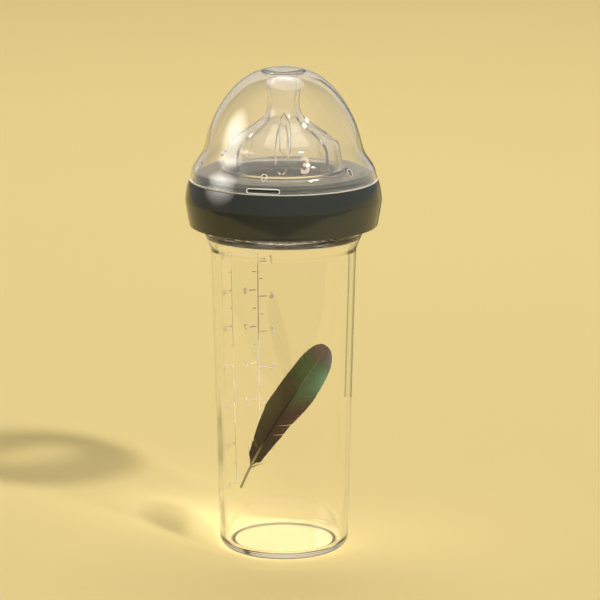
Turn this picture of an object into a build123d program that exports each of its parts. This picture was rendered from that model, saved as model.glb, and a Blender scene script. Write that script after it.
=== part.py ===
from build123d import *
import os
from math import cos, radians, sin

# Infant feeding bottle, 360 ml: a clear tapered bottle, a screw collar, a silicone teat
# held in the collar, and a clear dome cap that snaps over the collar's top.
# Frame: origin at the centre of the base, +Z up through the teat, -Y towards the front.
# All sizes are in millimetres. Outlines are (radius, height) pairs in the XZ plane.

# ---------------------------------------------------------------- driving dimensions
# bottle
FLOOR_RADIUS = 29.75  # of the tapered outer wall, carried down to the table
SHOULDER_RADIUS = 33.4  # of the outer wall where the shoulder starts to flare
SHOULDER_Z = 141.4
BEAD_RADIUS = 36.4  # widest part of the shoulder, just under the collar
BEAD_Z = 148.6
BEAD_TOP_Z = 151.8
WALL = 2.3
FLOOR_Z = 3.5  # height of the inside floor
FOOT_INNER_RADIUS = 24.2  # the bottle stands on a ring outside this radius
PUSH_UP = 1.3  # how far the underside is raised inside that ring
HEEL_FILLET = 4.6
NECK_RADIUS = 31.9
NECK_BORE_RADIUS = 29.6
RIM_Z = 172.2
SEAT_GAP = 0.1  # left between two pieces that rest on each other

# thread between neck and collar
THREAD_STARTS = 2
THREAD_LEAD = 10.0  # rise in one full turn
THREAD_TURNS = 0.8  # length of each rib
THREAD_HEIGHT = 1.45
THREAD_ROOT = 2.2  # width of a rib where it leaves the wall
THREAD_CREST = 1.0
THREAD_FIRST_Z = 158.6  # middle of a neck rib's lower end
THREAD_DROP = 1.75  # a collar rib lies this far under the neck rib above it
RIB_SINK = 0.3  # how far a rib's root reaches into the wall it stands on

# collar
COLLAR_FOOT_RADIUS = 43.3
COLLAR_FOOT_Z = 152.4
COLLAR_FOOT_ROUND = 1.2  # height of the rounding at the foot's outer edge
COLLAR_RADIUS = 45.0  # at the widest line
COLLAR_WIDE_Z = 164.0  # a soft crease runs round here
LEDGE_RADIUS = 43.2  # the cap's rim stands on this ledge
LEDGE_Z = 173.0
CROWN_RADIUS = 39.6  # raised middle that the cap snaps over
CROWN_Z = 177.0
CROWN_THICKNESS = 2.6
SNAP_GROOVE = 1.5  # plain height of the crown's side under its snap bead
SNAP_BEAD = 0.6  # how far the snap bead stands out from the crown
SHELL = 2.2
SKIRT_CLEARANCE = 0.45  # between the neck's ribs and the skirt's bore
SKIRT_BORE_RADIUS = NECK_RADIUS + THREAD_HEIGHT + SKIRT_CLEARANCE
SKIRT_WALL = 2.0
SKIRT_RADIUS = SKIRT_BORE_RADIUS + SKIRT_WALL
SKIRT_FOOT_Z = 153.2
TEAT_HOLE_RADIUS = 26.7

# teat
TEAT_WALL = 1.7
FLANGE_RADIUS = 31.2
FLANGE_BOTTOM_Z = RIM_Z + SEAT_GAP
FLANGE_THICKNESS = 1.9
TEAT_NECK_RADIUS = 26.4  # where the teat passes through the collar
TEAT_BEAD_RADIUS = 28.1  # rests on top of the collar's crown
TEAT_BEAD_HEIGHT = 1.6
DOME_RADIUS = 27.1  # at the foot of the visible dome
DOME_SHOULDER_RADIUS = 25.4
DOME_SHOULDER_Z = 190.4
DOME_SHOULDER_FILLET = 7.0
NIPPLE_NECK_RADIUS = 7.3
NIPPLE_NECK_Z = 202.8
NIPPLE_NECK_FILLET = 9.0
NIPPLE_NECK_HEIGHT = 6.2  # the straight part above the neck's lower fillet
NIPPLE_RADIUS = 8.0
NIPPLE_BULB_Z = 216.7
NIPPLE_TOP_Z = 221.7
NIPPLE_SWELL = (2.6, 4.5)  # reach of the curve that swells from the neck to the bulb
NIPPLE_TIP = (3.0, 2.4)  # reach of the curve from the bulb over to the tip
INNER_DROP = 0.55  # drop of the inner line's corners for each millimetre of wall
FLUTES = 8
FLUTE_DEPTH = 0.8
FLUTE_HALF_WIDTH = 2.9
FLUTE_WIDE_Z = 188.5
FLUTE_TOP_Z = 202.6
FLUTE_BOTTOM_Z = 179.6
FLUTE_TURN = -1.9  # degrees from the front to the nearest flute
MILK_HOLE_RADIUS = 0.6

# cap
CAP_WALL = 1.8
CAP_RIM_RADIUS = 43.1
CAP_RIM_Z = LEDGE_Z + SEAT_GAP
CAP_RIM_HEIGHT = 0.9
CAP_TOP_Z = 224.5
CAP_SKIRT = ((41.6, 178.6), (37.1, 185.9))  # flares out to the rim
CAP_WAIST = ((35.5, 191.0), (33.3, 198.2))
CAP_CROWN = ((26.7, 210.4), (13.6, 221.9))
CAP_SIDE_STEPS = 13  # points that carry the outer side over to the inner one
SEAL_RING_RADIUS = 9.1  # short ring inside the top, round the teat's tip
SEAL_RING_WIDTH = 1.1
SEAL_RING_DEPTH = 1.9
LUGS = 3
LUG_TURN = -12.5  # degrees from the front to the nearest lug
LUG_SPAN = 18.0  # degrees
LUG_HEIGHT = 1.1
LUG_GAP = 0.2  # between a lug and the snap bead it passes
LUG_ROOT = 0.4  # how far a lug reaches into the rim
LUG_CHAMFER = 0.3
SLOT_WIDTH = 15.0
SLOT_HEIGHT = 2.0
SLOT_Z = CAP_RIM_Z + 1.8  # middle of a slot
VENTS = 6
VENT_Z = 180.9
VENT_RADIUS = 1.3
VENT_TAIL = 1.9  # from the round part's centre down to the point
VENT_DIP = 45.0  # degrees below level where the round part ends

THROUGH = 60.0  # depth that surely cuts through one side


# ---------------------------------------------------------------- helpers
def on_front(turn, z):
    """A plane facing outwards through the axis at height z, turned from the front (-Y)."""
    return Plane(
        origin=(0, 0, z),
        x_dir=(cos(radians(turn)), sin(radians(turn)), 0),
        z_dir=(sin(radians(turn)), -cos(radians(turn)), 0),
    )


def thread_rib(wall_radius, outwards, first_z):
    """One helical rib of the thread, its lower end at height first_z beside the +X axis.

    outwards is 1 for a rib that stands out from a neck and -1 for a rib inside a collar.
    """
    root = wall_radius - outwards * RIB_SINK
    crest = wall_radius + outwards * THREAD_HEIGHT
    with BuildPart() as rib:
        with BuildLine(Plane.XY.offset(first_z)) as helix:
            Helix(THREAD_LEAD, THREAD_LEAD * THREAD_TURNS, wall_radius)
        with BuildSketch(Plane.XZ):
            with BuildLine():
                Polyline(
                    (root, first_z - THREAD_ROOT / 2),
                    (crest, first_z - THREAD_CREST / 2),
                    (crest, first_z + THREAD_CREST / 2),
                    (root, first_z + THREAD_ROOT / 2),
                    close=True,
                )
            make_face()
        sweep(path=helix.wires()[0], is_frenet=True)
    return rib.part


# ---------------------------------------------------------------- bottle
taper = (SHOULDER_RADIUS - FLOOR_RADIUS) / SHOULDER_Z
bore_floor = FLOOR_RADIUS - WALL + taper * FLOOR_Z
neck_rib = thread_rib(NECK_RADIUS, 1, THREAD_FIRST_Z)

with BuildPart() as bottle_body:
    with BuildSketch(Plane.XZ):
        with BuildLine():
            FilletPolyline(
                (0, FLOOR_Z),
                (bore_floor, FLOOR_Z),
                (SHOULDER_RADIUS - WALL, SHOULDER_Z),
                (BEAD_RADIUS - WALL, BEAD_Z - 0.6),
                (NECK_BORE_RADIUS, BEAD_TOP_Z - 0.2),
                (NECK_BORE_RADIUS, RIM_Z),
                (NECK_RADIUS, RIM_Z),
                (NECK_RADIUS, BEAD_TOP_Z),
                (BEAD_RADIUS, BEAD_TOP_Z),
                (BEAD_RADIUS, BEAD_Z),
                (SHOULDER_RADIUS, SHOULDER_Z),
                (FLOOR_RADIUS, 0),
                (FOOT_INNER_RADIUS, 0),
                (FOOT_INNER_RADIUS - PUSH_UP, PUSH_UP),
                (0, PUSH_UP),
                radius=(2.2, 6, 2, 3, 0.6, 0.8, 0.5, 1.2, 1.4, 5, HEEL_FILLET, 0.6, 0.9),
            )
            Line((0, PUSH_UP), (0, FLOOR_Z))
        make_face()
    revolve(axis=Axis.Z)
    with PolarLocations(0, THREAD_STARTS):
        add(neck_rib)

# ---------------------------------------------------------------- collar
collar_rib = thread_rib(SKIRT_BORE_RADIUS, -1, THREAD_FIRST_Z - THREAD_DROP)

with BuildPart() as screw_collar:
    with BuildSketch(Plane.XZ):
        with BuildLine():
            shell_low = Spline(
                (COLLAR_FOOT_RADIUS, COLLAR_FOOT_Z + COLLAR_FOOT_ROUND),
                (COLLAR_RADIUS, COLLAR_WIDE_Z),
                tangents=((0.2, 1), (0.12, 1)),
            )
            Spline(
                (COLLAR_RADIUS, COLLAR_WIDE_Z),
                (LEDGE_RADIUS, LEDGE_Z),
                tangents=((-0.1, 1), (-0.42, 1)),
            )
            crown = FilletPolyline(
                (LEDGE_RADIUS, LEDGE_Z),
                (CROWN_RADIUS, LEDGE_Z),
                (CROWN_RADIUS, LEDGE_Z + SNAP_GROOVE),
                (CROWN_RADIUS + SNAP_BEAD, LEDGE_Z + SNAP_GROOVE + SNAP_BEAD),
                (CROWN_RADIUS, CROWN_Z),
                (TEAT_HOLE_RADIUS, CROWN_Z),
                (TEAT_HOLE_RADIUS, CROWN_Z - CROWN_THICKNESS),
                (SKIRT_BORE_RADIUS, CROWN_Z - CROWN_THICKNESS),
                (SKIRT_BORE_RADIUS, SKIRT_FOOT_Z),
                (SKIRT_RADIUS, SKIRT_FOOT_Z),
                (SKIRT_RADIUS, CROWN_Z - CROWN_THICKNESS - 1.2),
                (LEDGE_RADIUS - SHELL, LEDGE_Z - SHELL),
                (COLLAR_RADIUS - SHELL, COLLAR_WIDE_Z),
                (COLLAR_FOOT_RADIUS - SHELL, COLLAR_FOOT_Z),
                (COLLAR_FOOT_RADIUS - 0.6, COLLAR_FOOT_Z),
                radius=(0.3, 0.2, 0.3, 0.5, 0.6, 0.6, 0.5, 0.6, 0.6, 1.0, 1.5, 8, 0.5),
            )
            ThreePointArc(
                crown @ 1,
                (COLLAR_FOOT_RADIUS - 0.12, COLLAR_FOOT_Z + 0.32),
                shell_low @ 0,
            )
        make_face()
    revolve(axis=Axis.Z)
    with PolarLocations(0, THREAD_STARTS):
        add(collar_rib)

# ---------------------------------------------------------------- teat
flange_top = FLANGE_BOTTOM_Z + FLANGE_THICKNESS
bead_bottom = CROWN_Z + SEAT_GAP


def teat_outline(inset):
    """The dome and nipple as one line from the foot up to the tip, moved inwards by inset."""
    shoulder = DOME_SHOULDER_Z - inset * INNER_DROP
    neck = NIPPLE_NECK_Z - inset * INNER_DROP
    top = NIPPLE_TOP_Z - inset
    foot = (DOME_RADIUS - inset, bead_bottom + TEAT_BEAD_HEIGHT)
    side = FilletPolyline(
        foot,
        (DOME_SHOULDER_RADIUS - inset, shoulder),
        (NIPPLE_NECK_RADIUS - inset, neck),
        (NIPPLE_NECK_RADIUS - inset, neck + NIPPLE_NECK_HEIGHT),
        radius=(DOME_SHOULDER_FILLET - inset, NIPPLE_NECK_FILLET + inset),
    )
    bulb = Bezier(
        side @ 1,
        (NIPPLE_NECK_RADIUS - inset, neck + NIPPLE_NECK_HEIGHT + NIPPLE_SWELL[0]),
        (NIPPLE_RADIUS - inset, NIPPLE_BULB_Z - NIPPLE_SWELL[1]),
        (NIPPLE_RADIUS - inset, NIPPLE_BULB_Z),
    )
    tip = Bezier(
        bulb @ 1,
        (NIPPLE_RADIUS - inset, NIPPLE_BULB_Z + NIPPLE_TIP[0]),
        (NIPPLE_RADIUS - inset - NIPPLE_TIP[1], top),
        (0, top),
    )
    return side, tip


with BuildPart() as flute:
    with BuildSketch(Plane.XZ):
        with BuildLine():
            outer_side, outer_tip = teat_outline(-1)
            inner_side, inner_tip = teat_outline(FLUTE_DEPTH)
            Line(outer_tip @ 1, inner_tip @ 1)
            Line(outer_side @ 0, inner_side @ 0)
        make_face()
    revolve(axis=Axis.Z)
    with BuildSketch(on_front(FLUTE_TURN, 0)):
        with BuildLine():
            for side in (-1, 1):
                Spline(
                    (0, FLUTE_TOP_Z),
                    (side * FLUTE_HALF_WIDTH, FLUTE_WIDE_Z),
                    (0, FLUTE_BOTTOM_Z),
                    tangents=((side * 0.12, -1), (-side, 0)),
                )
        make_face()
    extrude(amount=THROUGH, mode=Mode.INTERSECT)

with BuildPart() as teat:
    with BuildSketch(Plane.XZ):
        with BuildLine():
            outer_side, outer_tip = teat_outline(0)
            inner_side, inner_tip = teat_outline(TEAT_WALL)
            Line(outer_tip @ 1, inner_tip @ 1)
            FilletPolyline(
                outer_side @ 0,
                (TEAT_BEAD_RADIUS, bead_bottom + TEAT_BEAD_HEIGHT),
                (TEAT_BEAD_RADIUS, bead_bottom),
                (TEAT_NECK_RADIUS, bead_bottom),
                (TEAT_NECK_RADIUS, flange_top),
                (FLANGE_RADIUS, flange_top),
                (FLANGE_RADIUS, FLANGE_BOTTOM_Z),
                (TEAT_NECK_RADIUS - TEAT_WALL, FLANGE_BOTTOM_Z),
                (TEAT_NECK_RADIUS - TEAT_WALL, bead_bottom),
                inner_side @ 0,
                radius=(0.7, 0.7, 0.3, 0.3, 0.5, 0.5, 0.6, 2),
            )
        make_face()
    revolve(axis=Axis.Z)
    with PolarLocations(0, FLUTES):
        add(flute.part, mode=Mode.SUBTRACT)
    with Locations((0, 0, NIPPLE_TOP_Z)):
        Hole(MILK_HOLE_RADIUS, depth=2 * TEAT_WALL)

# ---------------------------------------------------------------- cap
lug_inner = CROWN_RADIUS + SNAP_BEAD + LUG_GAP
rim_bore = CAP_RIM_RADIUS - CAP_WALL
rim_top = CAP_RIM_Z + CAP_RIM_HEIGHT


def inset_points(line, distance, count):
    """Points spaced along an outline, moved to its left-hand (inner) side by distance."""
    points = []
    for step in range(count):
        place = line @ (step / (count - 1))
        along = line % (step / (count - 1))
        points.append((place.X - along.Y * distance, place.Y + along.X * distance))
    return points


with BuildPart() as dome_cap:
    with BuildSketch(Plane.XZ):
        with BuildLine():
            outer = Spline(
                (CAP_RIM_RADIUS - 0.2, rim_top),
                *CAP_SKIRT,
                *CAP_WAIST,
                *CAP_CROWN,
                (0, CAP_TOP_Z),
                tangents=((-0.3, 1), (-1, 0)),
            )
            inner = Spline(
                *inset_points(outer, CAP_WALL, CAP_SIDE_STEPS),
                tangents=((-0.3, 1), (-1, 0)),
            )
            Line(outer @ 1, inner @ 1)
            Polyline(
                outer @ 0,
                (CAP_RIM_RADIUS, rim_top),
                (CAP_RIM_RADIUS, CAP_RIM_Z),
                (rim_bore, CAP_RIM_Z),
                inner @ 0,
            )
        make_face()
    revolve(axis=Axis.Z)
    with BuildSketch(Plane.XY.offset(CAP_TOP_Z - CAP_WALL - SEAL_RING_DEPTH)):
        Circle(SEAL_RING_RADIUS)
        Circle(SEAL_RING_RADIUS - SEAL_RING_WIDTH, mode=Mode.SUBTRACT)
    extrude(amount=SEAL_RING_DEPTH + CAP_WALL / 3)
    for lug in range(LUGS):
        turn = LUG_TURN + 360 * lug / LUGS
        with BuildSketch(Plane.XZ.rotated((0, 0, turn - 90 - LUG_SPAN / 2))):
            with BuildLine():
                Polyline(
                    (rim_bore + LUG_ROOT, CAP_RIM_Z),
                    (lug_inner + LUG_CHAMFER, CAP_RIM_Z),
                    (lug_inner, CAP_RIM_Z + LUG_CHAMFER),
                    (lug_inner, CAP_RIM_Z + LUG_HEIGHT - LUG_CHAMFER),
                    (rim_bore + LUG_ROOT, CAP_RIM_Z + LUG_HEIGHT),
                    close=True,
                )
            make_face()
        revolve(axis=Axis.Z, revolution_arc=LUG_SPAN)
        with BuildSketch(on_front(turn, 0)):
            with Locations((0, SLOT_Z)):
                SlotOverall(SLOT_WIDTH, SLOT_HEIGHT)
        extrude(amount=THROUGH, mode=Mode.SUBTRACT)
    for vent in range(VENTS):
        with BuildSketch(on_front(LUG_TURN + 360 * vent / VENTS, VENT_Z)):
            with BuildLine():
                top = CenterArc((0, 0), VENT_RADIUS, -VENT_DIP, 180 + 2 * VENT_DIP)
                Polyline(top @ 1, (0, -VENT_TAIL), top @ 0)
            make_face()
        extrude(amount=THROUGH, mode=Mode.SUBTRACT)

# ---------------------------------------------------------------- export
os.makedirs("parts", exist_ok=True)
bottle_body.part.label = "bottle_body"
export_step(bottle_body.part, "parts/bottle_body.step")
screw_collar.part.label = "screw_collar"
export_step(screw_collar.part, "parts/screw_collar.step")
teat.part.label = "teat"
export_step(teat.part, "parts/teat.step")
dome_cap.part.label = "dome_cap"
export_step(dome_cap.part, "parts/dome_cap.step")
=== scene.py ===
import random
from math import cos, pi, radians, sin, sqrt, tan

import bmesh
import bpy
import numpy as np
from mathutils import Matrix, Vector
from mathutils.geometry import interpolate_bezier
from mathutils.kdtree import KDTree


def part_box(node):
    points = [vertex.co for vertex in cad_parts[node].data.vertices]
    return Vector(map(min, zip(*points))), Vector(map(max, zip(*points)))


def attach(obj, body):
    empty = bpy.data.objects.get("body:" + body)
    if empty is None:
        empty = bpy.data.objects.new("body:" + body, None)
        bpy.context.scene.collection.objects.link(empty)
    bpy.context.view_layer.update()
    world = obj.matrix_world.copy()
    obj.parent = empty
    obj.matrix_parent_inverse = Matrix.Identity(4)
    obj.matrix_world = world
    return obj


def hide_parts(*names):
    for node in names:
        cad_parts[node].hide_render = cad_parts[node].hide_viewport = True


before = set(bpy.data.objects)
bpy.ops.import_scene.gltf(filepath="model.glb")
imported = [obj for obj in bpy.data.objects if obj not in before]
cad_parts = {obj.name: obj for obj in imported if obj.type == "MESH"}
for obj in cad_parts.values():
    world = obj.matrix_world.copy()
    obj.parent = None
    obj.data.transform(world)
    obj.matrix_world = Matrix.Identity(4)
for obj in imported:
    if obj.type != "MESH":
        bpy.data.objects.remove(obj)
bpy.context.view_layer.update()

# An infant feeding bottle: clear tapered bottle, dark screw collar, silicone teat, clear dome cap.
# Metres, +Z up, -Y towards the front. Outlines are (radius, height) pairs. Angles round the
# bottle are degrees from the front (-Y), positive towards +X.
MM = 0.001

# ---------------------------------------------------------------- sizes, from the frame
bottle_low, bottle_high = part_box("bottle_body")
collar_low, collar_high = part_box("screw_collar")
teat_low, teat_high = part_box("teat")
cap_low, cap_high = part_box("dome_cap")

RIM_Z = bottle_high.z
BEAD_RADIUS = bottle_high.x
COLLAR_FOOT_Z = collar_low.z
COLLAR_RADIUS = collar_high.x
CROWN_Z = collar_high.z
FLANGE_RADIUS = teat_high.x
FLANGE_Z = teat_low.z
NIPPLE_TOP_Z = teat_high.z
CAP_RIM_RADIUS = cap_high.x
CAP_RIM_Z = cap_low.z
CAP_TOP_Z = cap_high.z

# bottle
FLOOR_RADIUS = 29.75 * MM
SHOULDER_RADIUS = 33.4 * MM
SHOULDER_Z = 141.4 * MM
BEAD_Z = RIM_Z - 23.6 * MM
BEAD_TOP_Z = RIM_Z - 20.4 * MM
WALL = 2.3 * MM
FLOOR_Z = 3.5 * MM
FOOT_RADIUS = 24.2 * MM
PUSH_UP = 1.3 * MM
NECK_RADIUS = 31.9 * MM
NECK_BORE = 29.6 * MM
TAPER = (SHOULDER_RADIUS - FLOOR_RADIUS) / SHOULDER_Z

# thread
THREAD_STARTS = 2
THREAD_FROM = 90.0  # where the first rib starts
THREAD_LEAD = 10 * MM
THREAD_TURNS = 0.8
THREAD_HEIGHT = 1.45 * MM
THREAD_ROOT = 2.2 * MM
THREAD_CREST = 1.0 * MM
RIB_END = 0.015  # turns over which a rib rises to its full height
NECK_THREAD_Z = RIM_Z - 13.6 * MM
COLLAR_THREAD_Z = NECK_THREAD_Z - 1.75 * MM

# collar
COLLAR_FOOT_RADIUS = COLLAR_RADIUS - 1.7 * MM
COLLAR_WIDE_Z = COLLAR_FOOT_Z + 11.6 * MM
LEDGE_RADIUS = COLLAR_RADIUS - 1.8 * MM
LEDGE_Z = CROWN_Z - 4.0 * MM
CROWN_RADIUS = 39.6 * MM
CROWN_THICKNESS = 2.6 * MM
SHELL = 2.2 * MM
SKIRT_BORE = 33.8 * MM
SKIRT_RADIUS = 35.8 * MM
TEAT_HOLE = 26.7 * MM
SNAP_BEAD = 0.6 * MM

# teat
TEAT_WALL = 1.7 * MM
FEED_HOLE = 0.5 * MM
FLANGE_THICKNESS = 1.9 * MM
TEAT_NECK = 26.4 * MM
TEAT_BEAD = 28.1 * MM
TEAT_BEAD_HEIGHT = 1.6 * MM
DOME_RADIUS = 27.1 * MM
DOME_SHOULDER = (25.4 * MM, NIPPLE_TOP_Z - 31.3 * MM)
NIPPLE_NECK = (7.3 * MM, NIPPLE_TOP_Z - 18.9 * MM)
NIPPLE_BULB = (8.0 * MM, NIPPLE_TOP_Z - 5.0 * MM)
BULB_HANDLES = (2.6 * MM, 4.5 * MM)  # how far the bulb's curve runs on past the neck and below its widest
TIP_HANDLES = (3.0 * MM, 2.4 * MM)  # the same for the tip's curve, above the widest and beside the top
DOME_FILLET = 7.0 * MM
NECK_FILLET = 9.0 * MM
NECK_HEIGHT = 6.2 * MM
INNER_DROP = 0.55  # how far the inner corners lie lower, as a share of the wall
FLUTES = 8
FLUTE_TURN = -1.9  # the middle of the first flute
FLUTE_DEPTH = 0.95 * MM
FLUTE_HALF_WIDTH = 3.1 * MM
FLUTE_EDGE = 0.6 * MM
FLUTE_BOTTOM_Z = 179.6 * MM
FLUTE_TOP_Z = 202.8 * MM
FLUTE_WIDEST = 0.42  # share of a flute's height below its widest place

# cap
CAP_WALL = 1.8 * MM
CAP_RIM_HEIGHT = 0.9 * MM
# height of the rim's lowest band, which is pale as a painted highlight
RIM_HIGHLIGHT_BAND = 0.55 * MM
# a fine tube round each hole, pale as a painted highlight
LIP_RADIUS = 0.18 * MM
LIP_SIDES = 8
FINE_SKIRT_Z = 176 * MM  # the rows are close together below this, for the lugs
SEAL_RING = 9.1 * MM
SEAL_RING_WIDTH = 1.1 * MM
SEAL_RING_DEPTH = 1.9 * MM
LUGS = 3
LUG_TURN = -12.5  # the middle of the first lug, slot and vent
LUG_SPAN = 18.0
LUG_HEIGHT = 1.1 * MM
LUG_REACH = 1.0 * MM
SLOT_WIDTH = 15.0 * MM
SLOT_HEIGHT = 2.0 * MM
SLOT_Z = CAP_RIM_Z + 1.8 * MM
VENTS = 6
VENT_Z = 180.9 * MM
VENT_RADIUS = 1.3 * MM
VENT_TAIL = 1.9 * MM
VENT_DIP = 45.0  # degrees below level where the drop's round part ends
CUT_FROM = CROWN_RADIUS * 0.85  # the cutters' inner and outer ends
CUT_TO = COLLAR_RADIUS + 5 * MM
SAME_SKIN = 0.75  # cosine above which a cut face keeps the whole cap's normal

# points round each turned piece
BOTTLE_ROUND = 320
TEAT_ROUND = 640
CAP_ROUND = 384

FILM = 0.04 * MM  # how far a print stands off the wall


# ---------------------------------------------------------------- outlines
def rounded(*corners, steps=8):
    """Points along a polyline of (radius, height, fillet) corners, its fillets as arcs."""
    points = []
    for i, (x, y, fillet) in enumerate(corners):
        here = Vector((x, y))
        if fillet == 0 or i in (0, len(corners) - 1):
            points.append(here)
            continue
        back = (Vector(corners[i - 1][:2]) - here).normalized()
        ahead = (Vector(corners[i + 1][:2]) - here).normalized()
        half = back.angle(ahead) / 2
        centre = here + (back + ahead).normalized() * (fillet / sin(half))
        arm = here + back * (fillet / tan(half)) - centre
        turn = (pi - 2 * half) * (1 if back.x * ahead.y - back.y * ahead.x < 0 else -1)
        for k in range(steps + 1):
            c, s = cos(turn * k / steps), sin(turn * k / steps)
            points.append(centre + Vector((c * arm.x - s * arm.y, s * arm.x + c * arm.y)))
    return points


def bezier(start, handle_1, handle_2, end, steps=16):
    """Points along a cubic curve in the outline's plane."""
    corners = [Vector(p).to_3d() for p in (start, handle_1, handle_2, end)]
    return [p.xy for p in interpolate_bezier(*corners, steps)]


def smooth(points, first, last, steps=12):
    """Points along the cubic spline through points, with the given end directions."""
    knots = np.array([tuple(p) for p in points], float)
    gaps = np.linalg.norm(np.diff(knots, axis=0), axis=1)
    count = len(knots)
    matrix, right = np.eye(count), np.zeros((count, 2))
    right[0] = Vector(first).normalized()
    right[-1] = Vector(last).normalized()
    for i in range(1, count - 1):
        before, after = gaps[i - 1], gaps[i]
        matrix[i, i - 1 : i + 2] = (1 / before, 2 / before + 2 / after, 1 / after)
        right[i] = 3 * ((knots[i] - knots[i - 1]) / before**2 + (knots[i + 1] - knots[i]) / after**2)
    slopes = np.linalg.solve(matrix, right)
    line = [Vector(knots[0])]
    for i in range(count - 1):
        for k in range(1, steps + 1):
            t = k / steps
            p = (
                (2 * t**3 - 3 * t**2 + 1) * knots[i]
                + (t**3 - 2 * t**2 + t) * gaps[i] * slopes[i]
                + (3 * t**2 - 2 * t**3) * knots[i + 1]
                + (t**3 - t**2) * gaps[i] * slopes[i + 1]
            )
            line.append(Vector(p))
    return line


def refine(points, step, low=-1.0, high=1.0):
    """The outline with no span longer than step between the heights low and high."""
    line = [points[0]]
    for a, b in zip(points, points[1:]):
        inside = low <= (a.y + b.y) / 2 <= high
        pieces = max(1, round((b - a).length / step)) if inside else 1
        line += [a.lerp(b, k / pieces) for k in range(1, pieces + 1)]
    return line


def normals_of(points):
    """The unit normal at each point of an outline, on its right-hand side."""
    line = np.array([tuple(p) for p in points])
    along = np.gradient(line, axis=0)
    along /= np.maximum(np.linalg.norm(along, axis=1), 1e-12)[:, None]
    return np.stack([along[:, 1], -along[:, 0]], 1)


# ---------------------------------------------------------------- meshes
def link(name, mesh, body, material):
    """Puts a finished mesh in the scene as a piece that rides on a CAD body."""
    piece = bpy.data.objects.new(name, mesh)
    bpy.context.scene.collection.objects.link(piece)
    piece.data.materials.append(material)
    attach(piece, body)
    return piece


def lathe(name, outline, segments, closed=False, relief=None):
    """A surface of revolution about Z. relief(angle, row radius, row height) gives how far each
    point moves along the outline's normal."""
    rows = np.array([tuple(p) for p in outline])
    keep = [0] + [i for i in range(1, len(rows)) if np.linalg.norm(rows[i] - rows[i - 1]) > 1e-6]
    rows = rows[keep]
    normals = normals_of([Vector(r) for r in rows])
    angles = np.arange(segments) * 2 * pi / segments
    mesh = bmesh.new()
    rings = []
    for (radius, height), normal in zip(rows, normals):
        if radius < 1e-6:
            rings.append([mesh.verts.new((0, 0, height))])
            continue
        move = relief(angles, radius, height) if relief else np.zeros(segments)
        r = radius + normal[0] * move
        z = height + normal[1] * move
        rings.append([mesh.verts.new(p) for p in zip(r * np.sin(angles), -r * np.cos(angles), z)])
    pairs = list(zip(rings, rings[1:])) + ([(rings[-1], rings[0])] if closed else [])
    for low, high in pairs:
        for i in range(segments):
            j = (i + 1) % segments
            loop = [low[i % len(low)], low[j % len(low)], high[j % len(high)], high[i % len(high)]]
            mesh.faces.new(list(dict.fromkeys(loop)))
    bmesh.ops.recalc_face_normals(mesh, faces=mesh.faces)
    return to_mesh(name, mesh)


def to_mesh(name, built, sharp=35):
    """A Blender mesh from a bmesh, smooth except at edges sharper than the given degrees."""
    data = bpy.data.meshes.new(name)
    built.to_mesh(data)
    built.free()
    data.shade_smooth()
    data.set_sharp_from_angle(angle=radians(sharp))
    return data


def join(target, source):
    """Adds one bmesh to another."""
    part = bpy.data.meshes.new("part")
    source.to_mesh(part)
    source.free()
    target.from_mesh(part)
    bpy.data.meshes.remove(part)


def thread_relief(first_z, radius_low, radius_high, outwards):
    """A relief of helical ribs, for rows whose radius lies between the two given."""

    def relief(angles, radius, height):
        move = np.zeros(len(angles))
        if not radius_low <= radius <= radius_high:
            return move
        for start in range(THREAD_STARTS):
            turned = (angles - radians(THREAD_FROM) - 2 * pi * start / THREAD_STARTS) % (2 * pi)
            for wrap in (-1, 0, 1):
                turns = turned / (2 * pi) + wrap
                ridge = first_z + THREAD_LEAD * turns
                away = np.abs(height - ridge)
                slope = (THREAD_ROOT - THREAD_CREST) / 2
                rise = np.clip((THREAD_ROOT / 2 - away) / slope, 0, 1)
                end = np.clip(np.minimum(turns, THREAD_TURNS - turns) / RIB_END, 0, 1)
                move = np.maximum(move, THREAD_HEIGHT * rise * end)
        return move * outwards

    return relief


def wrap(mesh, radius_at, centre, stand):
    """Moves flat points (across, height, out) on to a wall of revolution."""
    for v in mesh.verts:
        radius = radius_at(v.co.y) + stand + v.co.z
        angle = radians(centre) + v.co.x / radius_at(v.co.y)
        v.co = (radius * sin(angle), -radius * cos(angle), v.co.y)


def glyphs(text, size, x, y, weight=0.012):
    """Outlines of generic figures as a flat bmesh, from Blender's own font."""
    curve = bpy.data.curves.new("figures", "FONT")
    curve.body = text
    curve.size = size
    curve.align_x = "CENTER"
    curve.offset = weight * size
    curve.resolution_u = 4
    curve.align_y = "CENTER"
    holder = bpy.data.objects.new("figures", curve)
    bpy.context.scene.collection.objects.link(holder)
    bpy.context.view_layer.update()
    flat = bpy.data.meshes.new_from_object(holder.evaluated_get(bpy.context.evaluated_depsgraph_get()))
    bpy.data.objects.remove(holder)
    bpy.data.curves.remove(curve)
    built = bmesh.new()
    built.from_mesh(flat)
    bpy.data.meshes.remove(flat)
    bmesh.ops.translate(built, verts=built.verts, vec=(x, y, 0))
    return built


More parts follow.
